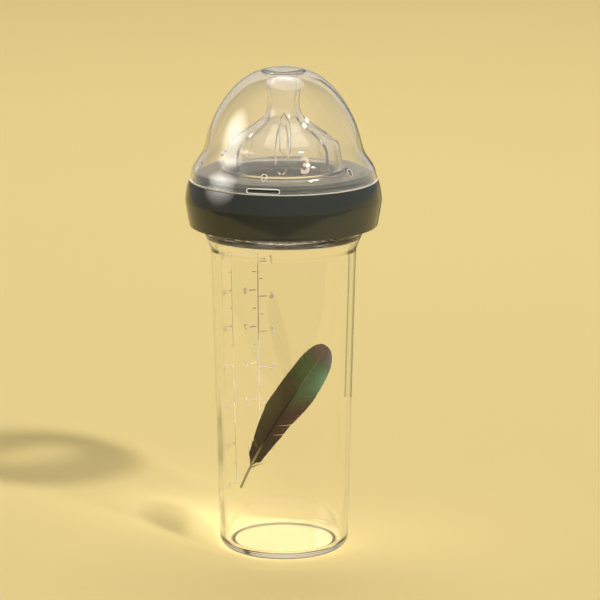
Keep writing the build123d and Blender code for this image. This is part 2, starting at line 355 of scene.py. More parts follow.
# ---------------------------------------------------------------- materials
class Nodes:
    """A short way to build one material's nodes."""

    def __init__(self, name):
        self.material = bpy.data.materials.new(name)
        self.material.use_nodes = True
        self.tree = self.material.node_tree
        self.shader = self.tree.nodes["Principled BSDF"]
        self.output = self.tree.nodes["Material Output"]

    def add(self, kind, **values):
        node = self.tree.nodes.new(kind)
        for key, value in values.items():
            setattr(node, key, value)
        return node

    def link(self, a, b):
        self.tree.links.new(a, b)

    def noise(self, scale, detail, stretch=(1, 1, 1)):
        place = self.add("ShaderNodeTexCoord")
        mapping = self.add("ShaderNodeMapping")
        mapping.inputs["Scale"].default_value = stretch
        texture = self.add("ShaderNodeTexNoise")
        texture.inputs["Scale"].default_value = scale
        texture.inputs["Detail"].default_value = detail
        self.link(place.outputs["Object"], mapping.inputs["Vector"])
        self.link(mapping.outputs["Vector"], texture.inputs["Vector"])
        return texture.outputs["Fac"]

    def spread(self, source, low, high):
        """Maps 0 to 1 on to low to high."""
        node = self.add("ShaderNodeMapRange")
        node.inputs["To Min"].default_value = low
        node.inputs["To Max"].default_value = high
        self.link(source, node.inputs["Value"])
        return node.outputs["Result"]

    def bump(self, source, strength, distance):
        node = self.add("ShaderNodeBump")
        node.inputs["Strength"].default_value = strength
        node.inputs["Distance"].default_value = distance
        self.link(source, node.inputs["Height"])
        return node.outputs["Normal"]

    def let_lamps_through(self, share):
        """Shadow rays pass the surface, so lamps light what is behind clear plastic."""
        path = self.add("ShaderNodeLightPath")
        clear = self.add("ShaderNodeBsdfTransparent")
        mix = self.add("ShaderNodeMixShader")
        scale = self.add("ShaderNodeMath", operation="MULTIPLY")
        scale.inputs[1].default_value = share
        self.link(path.outputs["Is Shadow Ray"], scale.inputs[0])
        self.link(scale.outputs[0], mix.inputs["Fac"])
        self.link(self.shader.outputs[0], mix.inputs[1])
        self.link(clear.outputs[0], mix.inputs[2])
        self.link(mix.outputs[0], self.output.inputs["Surface"])


def clear_plastic(name, colour, ior, weight, rough, ripple, ripple_scale):
    """A clear moulded plastic: faint flow ripple and a little variation in its gloss."""
    n = Nodes(name)
    n.shader.inputs["Base Color"].default_value = (*colour, 1)
    n.shader.inputs["IOR"].default_value = ior
    n.shader.inputs["Transmission Weight"].default_value = weight
    n.link(n.spread(n.noise(60, 3), *rough), n.shader.inputs["Roughness"])
    n.link(n.bump(n.noise(ripple_scale, 2, (1, 1, 0.35)), 0.25, ripple), n.shader.inputs["Normal"])
    n.let_lamps_through(0.93)
    return n.material


def rim_painted_highlight():
    """Painted highlight: pale, nearly opaque plastic in place of the light that runs inside the cap's
    wall and gathers at the rim's edge.
    """
    n = Nodes("cap_rim_painted_highlight")
    n.shader.inputs["Base Color"].default_value = (0.97, 0.95, 0.90, 1)
    n.shader.inputs["IOR"].default_value = 1.49
    n.shader.inputs["Transmission Weight"].default_value = 0.1
    n.link(n.spread(n.noise(800, 2), 0.15, 0.35), n.shader.inputs["Roughness"])
    return n.material


def collar_plastic():
    """Dark green-grey glossy polypropylene with a faint orange peel and fine rubbing marks."""
    n = Nodes("collar_plastic")
    tone = n.add("ShaderNodeValToRGB")
    tone.color_ramp.elements[0].color = (0.036, 0.041, 0.035, 1)
    tone.color_ramp.elements[1].color = (0.047, 0.052, 0.045, 1)
    n.link(n.noise(35, 4), tone.inputs["Fac"])
    n.link(tone.outputs["Color"], n.shader.inputs["Base Color"])
    n.shader.inputs["IOR"].default_value = 1.5
    n.link(n.spread(n.noise(900, 3, (1, 1, 0.1)), 0.07, 0.13), n.shader.inputs["Roughness"])
    n.link(n.bump(n.noise(420, 2), 0.12, 0.02 * MM), n.shader.inputs["Normal"])
    return n.material


def print_ink():
    """Thin silver-grey ink, a little uneven where it covers less."""
    n = Nodes("print_ink")
    tone = n.add("ShaderNodeValToRGB")
    tone.color_ramp.elements[0].color = (0.47, 0.43, 0.41, 1)
    tone.color_ramp.elements[1].color = (0.66, 0.62, 0.58, 1)
    grain = n.noise(1500, 3)
    n.link(grain, tone.inputs["Fac"])
    n.link(tone.outputs["Color"], n.shader.inputs["Base Color"])
    n.shader.inputs["Roughness"].default_value = 0.45
    n.shader.inputs["Metallic"].default_value = 0.15
    n.link(n.spread(grain, 0.85, 1.0), n.shader.inputs["Alpha"])
    return n.material


bottle_clear = clear_plastic("clear_bottle", (1.0, 0.995, 0.985), 1.54, 1.0, (0.0, 0.03), 0.05 * MM, 40)
cap_clear = clear_plastic("clear_cap", (0.985, 0.975, 0.955), 1.49, 0.975, (0.02, 0.05), 0.03 * MM, 60)
silicone = clear_plastic("silicone", (0.97, 0.96, 0.94), 1.42, 0.97, (0.04, 0.10), 0.05 * MM, 90)
collar_dark = collar_plastic()
ink = print_ink()


# ---------------------------------------------------------------- bottle
def body_radius(z):
    """Outer radius of the bottle's tapered wall."""
    return FLOOR_RADIUS + TAPER * z


def bore_radius(z):
    """Inner radius of the bottle's tapered wall."""
    return body_radius(z) - WALL


def make_bottle():
    """The bottle: floor, tapered wall, shoulder, bead and threaded neck."""
    outline = rounded(
        (0, FLOOR_Z, 0),
        (bore_radius(FLOOR_Z), FLOOR_Z, 2.2 * MM),
        (SHOULDER_RADIUS - WALL, SHOULDER_Z, 6 * MM),
        (BEAD_RADIUS - WALL, BEAD_Z - 0.6 * MM, 2 * MM),
        (NECK_BORE, BEAD_TOP_Z - 0.2 * MM, 3 * MM),
        (NECK_BORE, RIM_Z, 0.6 * MM),
        (NECK_RADIUS, RIM_Z, 0.8 * MM),
        (NECK_RADIUS, BEAD_TOP_Z, 0.5 * MM),
        (BEAD_RADIUS, BEAD_TOP_Z, 1.2 * MM),
        (BEAD_RADIUS, BEAD_Z, 1.4 * MM),
        (SHOULDER_RADIUS, SHOULDER_Z, 5 * MM),
        (FLOOR_RADIUS, 0, 4.6 * MM),
        (FOOT_RADIUS, 0, 0.6 * MM),
        (FOOT_RADIUS - PUSH_UP, PUSH_UP, 0.9 * MM),
        (0, PUSH_UP, 0),
        steps=12,
    )
    outline = refine(outline, 0.3 * MM, BEAD_TOP_Z + 2 * MM, RIM_Z)
    outline = refine(outline, 3 * MM)
    ribs = thread_relief(NECK_THREAD_Z, NECK_RADIUS - 0.1 * MM, NECK_RADIUS + 0.1 * MM, 1)
    mesh = lathe("bottle", outline, BOTTLE_ROUND, relief=ribs)
    piece = link("bottle", mesh, "bottle", bottle_clear)
    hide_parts("bottle_body")


# ---------------------------------------------------------------- collar
def make_collar():
    """The collar: bellied side, ledge, crown with its snap bead, and threaded skirt."""
    foot = COLLAR_FOOT_Z
    wide = (COLLAR_RADIUS, COLLAR_WIDE_Z)
    below = smooth(((COLLAR_FOOT_RADIUS, foot + 1.2 * MM), wide), (0.2, 1), (0.12, 1), steps=24)
    above = smooth((wide, (LEDGE_RADIUS, LEDGE_Z)), (-0.1, 1), (-0.42, 1), steps=24)
    under = CROWN_Z - CROWN_THICKNESS
    crown = rounded(
        (LEDGE_RADIUS, LEDGE_Z, 0),
        (CROWN_RADIUS, LEDGE_Z, 0.3 * MM),
        (CROWN_RADIUS, LEDGE_Z + 1.5 * MM, 0.2 * MM),
        (CROWN_RADIUS + SNAP_BEAD, LEDGE_Z + 2.1 * MM, 0.3 * MM),
        (CROWN_RADIUS, CROWN_Z, 0.5 * MM),
        (TEAT_HOLE, CROWN_Z, 0.6 * MM),
        (TEAT_HOLE, under, 0.6 * MM),
        (SKIRT_BORE, under, 0.5 * MM),
        (SKIRT_BORE, foot + 0.8 * MM, 0.6 * MM),
        (SKIRT_RADIUS, foot + 0.8 * MM, 0.6 * MM),
        (SKIRT_RADIUS, under - 1.2 * MM, 1.0 * MM),
        (LEDGE_RADIUS - SHELL, LEDGE_Z - SHELL, 1.5 * MM),
        (COLLAR_RADIUS - SHELL, COLLAR_WIDE_Z, 8 * MM),
        (COLLAR_FOOT_RADIUS - SHELL, foot, 0.5 * MM),
        (COLLAR_FOOT_RADIUS - 0.6 * MM, foot, 0),
    )
    corner = bezier(
        crown[-1],
        (COLLAR_FOOT_RADIUS - 0.1 * MM, foot),
        (COLLAR_FOOT_RADIUS - 0.08 * MM, foot + 0.6 * MM),
        below[0],
        8,
    )
    seam = Vector((COLLAR_RADIUS - 0.04 * MM, COLLAR_WIDE_Z))  # where the mould's halves meet
    outline = corner + below[1:-1] + [seam] + above[1:] + crown[1:-1]
    outline = refine(outline, 0.3 * MM, foot, under)
    ribs = thread_relief(COLLAR_THREAD_Z, SKIRT_BORE - 0.1 * MM, SKIRT_BORE + 0.1 * MM, 1)
    mesh = lathe("collar", outline, BOTTLE_ROUND, closed=True, relief=ribs)
    piece = link("collar", mesh, "collar", collar_dark)
    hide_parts("screw_collar")


# ---------------------------------------------------------------- teat
def teat_line(inset):
    """Dome and nipple from the foot to the tip, moved inwards by inset."""
    drop = inset * INNER_DROP
    neck = NIPPLE_NECK[0] - inset
    neck_top = NIPPLE_NECK[1] - drop + NECK_HEIGHT
    side = rounded(
        (DOME_RADIUS - inset, CROWN_Z + TEAT_BEAD_HEIGHT + 0.1 * MM, 0),
        (DOME_SHOULDER[0] - inset, DOME_SHOULDER[1] - drop, DOME_FILLET - inset),
        (neck, NIPPLE_NECK[1] - drop, NECK_FILLET + inset),
        (neck, neck_top, 0),
        steps=16,
    )
    bulge = NIPPLE_BULB[0] - inset
    bulb = bezier(
        side[-1],
        (neck, neck_top + BULB_HANDLES[0]),
        (bulge, NIPPLE_BULB[1] - BULB_HANDLES[1]),
        (bulge, NIPPLE_BULB[1]),
    )
    top = NIPPLE_TOP_Z - inset
    above = (bulge, NIPPLE_BULB[1] + TIP_HANDLES[0])
    tip = bezier(bulb[-1], above, (bulge - TIP_HANDLES[1], top), (0, top), 20)
    return side + bulb[1:] + tip[1:]


def flute_relief(angles, radius, height):
    """Spindle-shaped flutes, blunt at the foot and pointed at the neck."""
    t = (height - FLUTE_BOTTOM_Z) / (FLUTE_TOP_Z - FLUTE_BOTTOM_Z)
    if not 0 < t < 1:
        return np.zeros(len(angles))
    if t < FLUTE_WIDEST:
        share = sqrt(1 - (1 - t / FLUTE_WIDEST) ** 4)
    else:
        share = 1 - ((t - FLUTE_WIDEST) / (1 - FLUTE_WIDEST)) ** 3
    pitch = 2 * pi / FLUTES
    turn = (angles - radians(FLUTE_TURN) + pitch / 2) % pitch - pitch / 2
    across = np.abs(radius * np.sin(turn))
    rise = np.clip((FLUTE_HALF_WIDTH * share - across) / FLUTE_EDGE, 0, 1)
    return -FLUTE_DEPTH * rise * rise * (3 - 2 * rise)


def make_teat():
    """The teat: clamped flange, bead, fluted dome and nipple, with its feed hole."""
    outer = refine(teat_line(0), 0.3 * MM)
    inner = refine(teat_line(TEAT_WALL), 0.6 * MM)
    top = CROWN_Z + 0.1 * MM
    flange_top = FLANGE_Z + FLANGE_THICKNESS
    foot = rounded(
        (inner[0].x, inner[0].y, 0),
        (TEAT_NECK - TEAT_WALL, top, 1.5 * MM),
        (TEAT_NECK - TEAT_WALL, FLANGE_Z, 0.6 * MM),
        (FLANGE_RADIUS, FLANGE_Z, 0.5 * MM),
        (FLANGE_RADIUS, flange_top, 0.5 * MM),
        (TEAT_NECK, flange_top, 0.3 * MM),
        (TEAT_NECK, top, 0.3 * MM),
        (TEAT_BEAD, top, 0.7 * MM),
        (TEAT_BEAD, top + TEAT_BEAD_HEIGHT, 0.7 * MM),
        (outer[0].x, outer[0].y, 0),
    )
    outer = [p for p in outer if p.x > FEED_HOLE] + [Vector((FEED_HOLE, NIPPLE_TOP_Z))]
    inner = [p for p in inner if p.x > FEED_HOLE] + [Vector((FEED_HOLE, NIPPLE_TOP_Z - TEAT_WALL))]
    outline = outer + inner[::-1] + foot[1:-1]
    fine = 1e7  # tells the radii of the rows apart
    skin = {round(p.x * fine) for p in outer}

    def relief(angles, radius, height):
        if round(radius * fine) not in skin:
            return np.zeros(len(angles))
        return flute_relief(angles, radius, height)

    mesh = lathe("teat", outline, TEAT_ROUND, closed=True, relief=relief)
    piece = link("teat", mesh, "teat", silicone)
    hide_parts("teat")


# ---------------------------------------------------------------- cap
def cap_outlines():
    """The cap's outer and inner lines, from the rim up to the axis."""
    rim_top = CAP_RIM_Z + CAP_RIM_HEIGHT
    heights = (
        (CAP_RIM_RADIUS - 0.2 * MM, rim_top),
        (41.6 * MM, 178.6 * MM),
        (37.1 * MM, 185.9 * MM),
        (35.5 * MM, 191.0 * MM),
        (33.3 * MM, 198.2 * MM),
        (26.7 * MM, 210.4 * MM),
        (13.6 * MM, 221.9 * MM),
        (0, CAP_TOP_Z),
    )
    outer = smooth(heights, (-0.3, 1), (-1, 0), steps=14)
    inward = -normals_of(outer)
    inner = [p + Vector(n) * CAP_WALL for p, n in zip(outer, inward)]
    inner[-1].x = 0
    return outer, inner


def seal_ring(inner):
    """The inner line with the short ring that closes round the teat's tip."""
    foot = CAP_TOP_Z - CAP_WALL - SEAL_RING_DEPTH
    outside = [p for p in inner if p.x > SEAL_RING + 0.1 * MM]
    inside = [p for p in inner if p.x < SEAL_RING - SEAL_RING_WIDTH - 0.1 * MM]
    ring = rounded(
        (outside[-1].x, outside[-1].y, 0),
        (SEAL_RING, outside[-1].y, 0.2 * MM),
        (SEAL_RING, foot, 0.3 * MM),
        (SEAL_RING - SEAL_RING_WIDTH, foot, 0.3 * MM),
        (SEAL_RING - SEAL_RING_WIDTH, inside[0].y, 0.2 * MM),
        (inside[0].x, inside[0].y, 0),
        steps=5,
    )
    return outside + ring[1:-1] + inside


def lug_relief(angles, radius, height):
    """Three snap lugs inside the rim."""
    bore = CAP_RIM_RADIUS - CAP_WALL
    if abs(radius - bore) > 0.5 * MM or height > CAP_RIM_Z + LUG_HEIGHT + 0.3 * MM:
        return np.zeros(len(angles))
    pitch = 2 * pi / LUGS
    turn = np.abs((angles - radians(LUG_TURN) + pitch / 2) % pitch - pitch / 2)
    side = np.clip((radians(LUG_SPAN / 2) - turn) / radians(0.8), 0, 1)
    level = np.clip((CAP_RIM_Z + LUG_HEIGHT - height) / (0.25 * MM), 0, 1)
    foot = np.clip((height - CAP_RIM_Z - 0.02 * MM) / (0.3 * MM), 0, 1)
    return LUG_REACH * side * level * foot


def directions(turn):
    """The level directions away from the axis and across, at a turn in degrees."""
    angle = radians(turn)
    return Vector((sin(angle), -cos(angle), 0)), Vector((cos(angle), sin(angle), 0))


def prism(shape, turn, z):
    """A closed prism of a flat shape of (across, up) points, to cut through the cap's wall."""
    out, across = directions(turn)
    mesh = bmesh.new()
    rings = [
        [mesh.verts.new(out * depth + across * x + Vector((0, 0, z + y))) for x, y in shape]
        for depth in (CUT_FROM, CUT_TO)
    ]
    count = len(shape)
    for i in range(count):
        j = (i + 1) % count
        mesh.faces.new((rings[0][i], rings[0][j], rings[1][j], rings[1][i]))
    mesh.faces.new(rings[0][::-1])
    mesh.faces.new(rings[1])
    bmesh.ops.recalc_face_normals(mesh, faces=mesh.faces)
    return mesh


def slot_shape():
    """A level slot with round ends."""
    half, round_end = SLOT_WIDTH / 2 - SLOT_HEIGHT / 2, SLOT_HEIGHT / 2
    ends = []
    for k in range(24):
        angle = 2 * pi * (k + 0.5) / 24
        side = half if cos(angle) > 0 else -half
        ends.append((side + round_end * cos(angle), round_end * sin(angle)))
    return ends


def vent_shape():
    """A drop: round above, drawn to a point below."""
    reach = radians(90 + VENT_DIP)
    arc = [(-reach + 2 * reach * k / 20) for k in range(21)]
    return [(VENT_RADIUS * sin(a), VENT_RADIUS * cos(a)) for a in arc[::-1]] + [(0, -VENT_TAIL)]


def highlight_lip(outer, shape, turn, z):
    """A fine rounded edge along a hole's outline on the cap's outer skin; make_cap gives it the pale
    material, a painted highlight round the hole.
    """
    out, across = directions(turn)
    heights = [p.y for p in outer]
    reaches = [p.x for p in outer]
    places = []
    for x, y in shape:
        skin = min(CAP_RIM_RADIUS, np.interp(z + y, heights, reaches)) - LIP_RADIUS
        places.append(out * sqrt(skin**2 - x**2) + across * x + Vector((0, 0, z + y)))
    mesh = bmesh.new()
    rings = []
    for k, place in enumerate(places):
        along = (places[(k + 1) % len(places)] - places[k - 1]).normalized()
        side = along.cross(out).normalized()
        up = side.cross(along)
        turns = [2 * pi * i / LIP_SIDES for i in range(LIP_SIDES)]
        rings.append([mesh.verts.new(place + (side * cos(a) + up * sin(a)) * LIP_RADIUS) for a in turns])
    for k, ring in enumerate(rings):
        last = rings[k - 1]
        for i in range(LIP_SIDES):
            j = (i + 1) % LIP_SIDES
            mesh.faces.new((last[i], last[j], ring[j], ring[i]))
    bmesh.ops.recalc_face_normals(mesh, faces=mesh.faces)
    return mesh


def cut_out(whole, cutter):
    """whole with the cutter's prisms taken out, keeping its smooth shading round the holes."""
    data = bpy.data.meshes.new("cutter")
    cutter.to_mesh(data)
    cutter.free()
    mark = bpy.data.materials.new("cut")
    data.materials.append(cap_clear)
    data.materials.append(mark)
    data.polygons.foreach_set("material_index", np.ones(len(data.polygons), np.int32))
    tool = bpy.data.objects.new("cutter", data)
    target = bpy.data.objects.new("whole", whole)
    whole.materials.append(cap_clear)
    for thing in (tool, target):
        bpy.context.scene.collection.objects.link(thing)
    boolean = target.modifiers.new("cut", "BOOLEAN")
    boolean.operation = "DIFFERENCE"
    boolean.solver = "EXACT"
    boolean.object = tool
    bpy.context.view_layer.update()
    result = bpy.data.meshes.new_from_object(target.evaluated_get(bpy.context.evaluated_depsgraph_get()))
    tree = KDTree(len(whole.vertices))
    for i, v in enumerate(whole.vertices):
        tree.insert(v.co, i)
    tree.balance()
    walls = {p.index for p in result.polygons if p.material_index != 0}
    normals = []
    for face in result.polygons:
        for corner in face.loop_indices:
            if face.index in walls:
                normals.append(face.normal)
                continue
            place = result.vertices[result.loops[corner].vertex_index].co
            near = whole.vertices[tree.find(place)[1]].normal
            normals.append(near if near.dot(face.normal) > SAME_SKIN else face.normal)
    # the holes' walls take the second material, which make_cap fills with the pale painted highlight
    shown = [int(face.index in walls) for face in result.polygons]
    result.polygons.foreach_set("material_index", np.array(shown, np.int32))
    result.normals_split_custom_set(normals)
    result.materials.clear()
    for thing in (tool, target):
        bpy.data.objects.remove(thing)
    bpy.data.materials.remove(mark)
    return result


def make_cap():
    """The dome cap with its slots and vents, and the fine rounded edges round them; these edges, the
    holes' walls and the rim's lowest band take the pale painted highlight.
    """
    outer, inner = cap_outlines()
    bore = CAP_RIM_RADIUS - CAP_WALL
    rim_top = CAP_RIM_Z + CAP_RIM_HEIGHT
    rim = rounded(
        (inner[0].x, inner[0].y, 0),
        (bore, CAP_RIM_Z, 0.25 * MM),
        (CAP_RIM_RADIUS, CAP_RIM_Z, 0.3 * MM),
        (CAP_RIM_RADIUS, rim_top, 0.3 * MM),
        (outer[0].x, outer[0].y, 0),
    )
    outline = seal_ring(inner)[::-1] + rim[1:-1] + outer
    outline = refine(refine(outline, 0.25 * MM, -1, FINE_SKIRT_Z), 0.8 * MM)
    whole = lathe("dome_cap", outline, CAP_ROUND, relief=lug_relief)
    cutter = bmesh.new()
    highlight_lips = bmesh.new()
    for shape, count, z in ((slot_shape(), LUGS, SLOT_Z), (vent_shape(), VENTS, VENT_Z)):
        for k in range(count):
            turn = LUG_TURN + 360 * k / count
            join(cutter, prism(shape, turn, z))
            join(highlight_lips, highlight_lip(outer, shape, turn, z))
    mesh = cut_out(whole, cutter)
    piece = link("cap", mesh, "cap", cap_clear)
    # edge is the pale material, a painted highlight, for the holes' walls, the rim's lowest band and the
    # fine tubes round the holes
    edge = rim_painted_highlight()
    piece.data.materials.append(edge)
    # the rim's lowest band takes the pale material too: a painted highlight along the rim
    for face in mesh.polygons:
        if face.center.z < CAP_RIM_Z + RIM_HIGHLIGHT_BAND and face.center.xy.length > bore + RIM_HIGHLIGHT_BAND:
            face.material_index = 1
    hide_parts("dome_cap")
    link("cap_lips_painted_highlight", to_mesh("cap_lips_painted_highlight", highlight_lips, sharp=180), "cap", edge)


make_bottle()
make_collar()
make_teat()
make_cap()


# ---------------------------------------------------------------- print on the bottle
INK_WIDTH = 0.6 * MM
SCALE_LINE = 203.0  # where the scale's middle line is
SCALE_SPAN = (49.4 * MM, 132.7 * MM)
NEAR_TICKS = [(61.0 + 16.95 * k) * MM for k in range(4, -1, -1)]
FAR_TICKS = [(62.7 + 17.5 * k) * MM for k in range(4, -1, -1)]
SIDE_LINE = 232.7  # where the second scale's line is
SIDE_SPAN = (24.0 * MM, 135.0 * MM)
SIDE_TICKS = [z * MM for z in (134.3, 117.3, 100.1, 81.9, 63.1, 43.7, 24.5)]
SIDE_STEP = 50  # millilitres from one figure to the next


def bar(x, y, width, height):
    """A rectangle by its centre."""
    return [
        (x - width / 2, y - height / 2),
        (x + width / 2, y - height / 2),
        (x + width / 2, y + height / 2),
        (x - width / 2, y + height / 2),
    ]


def flat(polygons):
    """A flat bmesh of polygons, cut finely enough across to be bent round the wall."""
    mesh = bmesh.new()
    for polygon in polygons:
        corners = []
        for a, b in zip(polygon, polygon[1:] + polygon[:1]):
            pieces = max(1, round(abs(b[0] - a[0]) / MM))
            corners += [Vector(a).lerp(Vector(b), k / pieces) for k in range(pieces)]
        mesh.faces.new([mesh.verts.new((c.x, c.y, 0)) for c in corners])
    bmesh.ops.triangulate(mesh, faces=mesh.faces)
    return mesh


def ladder(heights, side, figures, size, reach, gap, long, short):
    """Ticks on one side of a line: long ones with figures at heights, short ones between. reach is
    how far out the figures are; gap, long and short are in millimetres."""
    bars, marks = [], []
    gap, long, short = gap * MM, long * MM, short * MM
    for z, figure in zip(heights, figures):
        bars.append(bar(side * (long / 2 + gap), z, long, INK_WIDTH * 0.9))
        marks.append((figure, size, side * reach, z))
    for low, high in zip(heights[1:], heights):
        bars.append(bar(side * (short / 2 + gap), (low + high) / 2, short, INK_WIDTH * 0.8))
    return bars, marks


def bent(bars, marks, centre):
    """Bars and figures laid on the bottle's outer wall round the angle centre."""
    mesh = flat(bars)
    for text, size, x, y in marks:
        join(mesh, glyphs(text, size, x, y))
    wrap(mesh, body_radius, centre, FILM)
    return mesh


def upright(span, width):
    """The line of a scale, between two heights."""
    low, high = span
    return bar(0, (low + high) / 2, width, high - low)


def make_scale():
    """Two graduated lines on the back wall, to be read from outside, so mirrored from here."""
    near, near_marks = ladder(NEAR_TICKS, -1, "76543", 4.1 * MM, 7.0 * MM, gap=0.8, long=3.7, short=1.8)
    far, far_marks = ladder(FAR_TICKS, 1, "98765", 4.0 * MM, 7.5 * MM, gap=1.2, long=3.8, short=1.9)
    bars = [upright(SCALE_SPAN, INK_WIDTH)] + near + far
    scale = bent(bars, near_marks + far_marks, SCALE_LINE)
    figures = [str(SIDE_STEP * k) for k in range(len(SIDE_TICKS), 0, -1)]
    side, side_marks = ladder(SIDE_TICKS, 1, figures, 3.6 * MM, 7.6 * MM, gap=0.5, long=2.6, short=1.4)
    bars = [upright(SIDE_SPAN, INK_WIDTH * 0.8)] + side
    join(scale, bent(bars, side_marks, SIDE_LINE))
    link("printed_scale", to_mesh("printed_scale", scale), "bottle", ink)


# ---------------------------------------------------------------- feather print
FEATHER_FOOT = Vector((-21.5, 33.5)) * MM
FEATHER_TIP = Vector((21.3, 100.6)) * MM
FEATHER_BOW = (Vector((-8, 61)) * MM, Vector((4, 81)) * MM)
VANE_START = 0.17  # share of the shaft below the vanes
BARBS = 120
BARB_STEPS = 10
LOOSE_BARBS = 26  # on each side
LOOSE_STEPS = 5
LOOSE_WIDTH = 0.16 * MM
SHAFT_STEPS = 60
VANE_WIDTHS = {-1: 8.3 * MM, 1: 9.4 * MM}
BROWN = (0.055, 0.036, 0.018)
OLIVE = (0.085, 0.080, 0.022)
MOSS = (0.060, 0.110, 0.030)
TEAL = (0.140, 0.290, 0.170)
PLUM = (0.085, 0.030, 0.022)
TAUPE = (0.135, 0.095, 0.072)
SLATE = (0.150, 0.190, 0.220)


def shaft(t):
    """Point and direction of the feather's shaft, t from foot to tip."""
    a, d = FEATHER_FOOT, FEATHER_TIP
    b, c = FEATHER_BOW
    s = 1 - t
    place = a * s**3 + b * (3 * s * s * t) + c * (3 * s * t * t) + d * t**3
    along = (b - a) * s * s + (c - b) * (2 * s * t) + (d - c) * t * t
    return place, along.normalized()


def vane_width(t, side):
    """Half width of a vane at share t of its length."""
    foot, slope = (0.42, 1.9) if side < 0 else (0.34, 1.3)
    rise = foot + slope * t - 0.05 * max(0, 1 - abs(t - 0.3) / 0.1)
    fall = sqrt(max(0, 1 - max(0, (t - 0.5) / 0.5) ** (5 if side < 0 else 4)))
    return VANE_WIDTHS[side] * min(1, rise) * fall


def blend(base, colour, weight):
    """Mixes a colour into base; a weight of 1 or more gives the colour itself."""
    w = min(1, max(0, weight))
    return tuple(x * (1 - w) + y * w for x, y in zip(base, colour))


def bell(x, middle, width):
    """A weight of 1 at the middle that falls off on both sides."""
    return 2.718 ** (-(((x - middle) / width) ** 2))


def feather_colour(t, s, side):
    """Colour of the vane at share t of its length and s of its width."""
    colour = BROWN
    if side < 0:
        colour = blend(colour, OLIVE, bell(t, 0.38, 0.16) * s * 1.1)
        colour = blend(colour, MOSS, bell(t, 0.80, 0.15) * (1.1 - 0.45 * s))
        colour = blend(colour, TAUPE, bell(t, 0.97, 0.10))
    else:
        colour = blend(colour, PLUM, bell(t, 0.42, 0.14) * (0.4 + 0.6 * s))
        colour = blend(colour, OLIVE, bell(t, 0.60, 0.12) * (1 - 0.6 * s))
        colour = blend(colour, TEAL, bell(t, 0.74, 0.15) * (0.35 + 0.75 * s))
        colour = blend(colour, MOSS, bell(t, 0.68, 0.16) * (1 - s) * 0.8)
        colour = blend(colour, TAUPE, bell(t, 0.98, 0.10) * 0.9)
        colour = blend(colour, SLATE, bell(t, 0.93, 0.08) * s * s)
    return colour


class Feather:
    """Collects strips of the feather print with a colour at every point."""

    def __init__(self):
        self.mesh = bmesh.new()
        self.tint = self.mesh.verts.layers.float_color.new("tint")

    def point(self, place, lift, colour):
        v = self.mesh.verts.new((place.x, place.y, lift))
        v[self.tint] = (*colour, 1)
        return v

    def strip(self, left, right):
        for a, b, c, d in zip(left, left[1:], right[1:], right):
            self.mesh.faces.new((a, b, c, d))


def barb_line(t, side, reach, sweep):
    """Points of one barb, from the shaft out to the vane's edge, bending towards the tip."""
    place, along = shaft(VANE_START + (1 - VANE_START) * t)
    out = Vector((along.y, -along.x)) * side
    line = []
    for k in range(BARB_STEPS + 1):
        s = k / BARB_STEPS
        line.append(place + (out * s + along * sweep * s * (0.55 + 0.45 * s)) * reach)
    return line


def add_vane(feather, side, chance):
    """One side of the feather: barbs side by side, parted in a few places."""
    splits = {0.225, 0.31} if side > 0 else {0.09}
    for i in range(BARBS):
        t, after = i / BARBS, (i + 1) / BARBS
        ragged = 1 + chance.uniform(-0.012, 0.012)
        lines = []
        for place in (t, after):
            sweep = 0.65 * (1 - 0.85 * place**3)
            lines.append(barb_line(min(1, place), side, vane_width(min(1, place), side) * ragged, sweep))
        split = min(abs(t - s) for s in splits) < 0.5 / BARBS
        ends = []
        for line, share in zip(lines, (t, after)):
            ends.append([
                feather.point(p, 0, feather_colour(share, k / BARB_STEPS, side))
                for k, p in enumerate(line)
            ])
        if split:
            for k in range(3, BARB_STEPS + 1):
                ends[1][k].co.xy = lines[1][k].lerp(lines[0][k], 0.6 * (k - 2) / (BARB_STEPS - 2))
        feather.strip(ends[0], ends[1])


def add_loose_barbs(feather, chance):
    """Fine loose barbs beside the foot of the vanes."""
    for side in (-1, 1):
        for i in range(LOOSE_BARBS):
            t = VANE_START + chance.uniform(-0.045, 0.06)
            place, along = shaft(t)
            out = Vector((along.y, -along.x)) * side
            long = chance.uniform(4, 9.5) * MM
            lean = chance.uniform(0.30, 0.75)
            heading = (out * lean + along).normalized()
            bend = out * chance.uniform(0.0, 0.15)
            left, right = [], []
            for k in range(LOOSE_STEPS + 1):
                s = k / LOOSE_STEPS
                p = place + (heading + bend * s) * long * s
                edge = Vector((heading.y, -heading.x)) * LOOSE_WIDTH * (1 - 0.8 * s)
                colour = blend(BROWN, OLIVE, chance.random() * 0.5)
                left.append(feather.point(p - edge, 0.01 * MM, colour))
                right.append(feather.point(p + edge, 0.01 * MM, colour))
            feather.strip(left, right)


def add_shaft(feather):
    """The dark shaft, thin at the tip, on a pale quill at the foot."""
    left, right = [], []
    for k in range(SHAFT_STEPS + 1):
        t = k / SHAFT_STEPS
        place, along = shaft(t * 0.985)
        across = Vector((along.y, -along.x))
        wide = (0.62 - 0.5 * t) * MM
        colour = blend((0.42, 0.38, 0.20), (0.018, 0.013, 0.007), (t - 0.18) / 0.14)
        colour = blend(colour, (0.16, 0.16, 0.09), (t - 0.66) / 0.1)
        left.append(feather.point(place - across * wide, 0.02 * MM, colour))
        right.append(feather.point(place + across * wide, 0.02 * MM, colour))
    feather.strip(left, right)


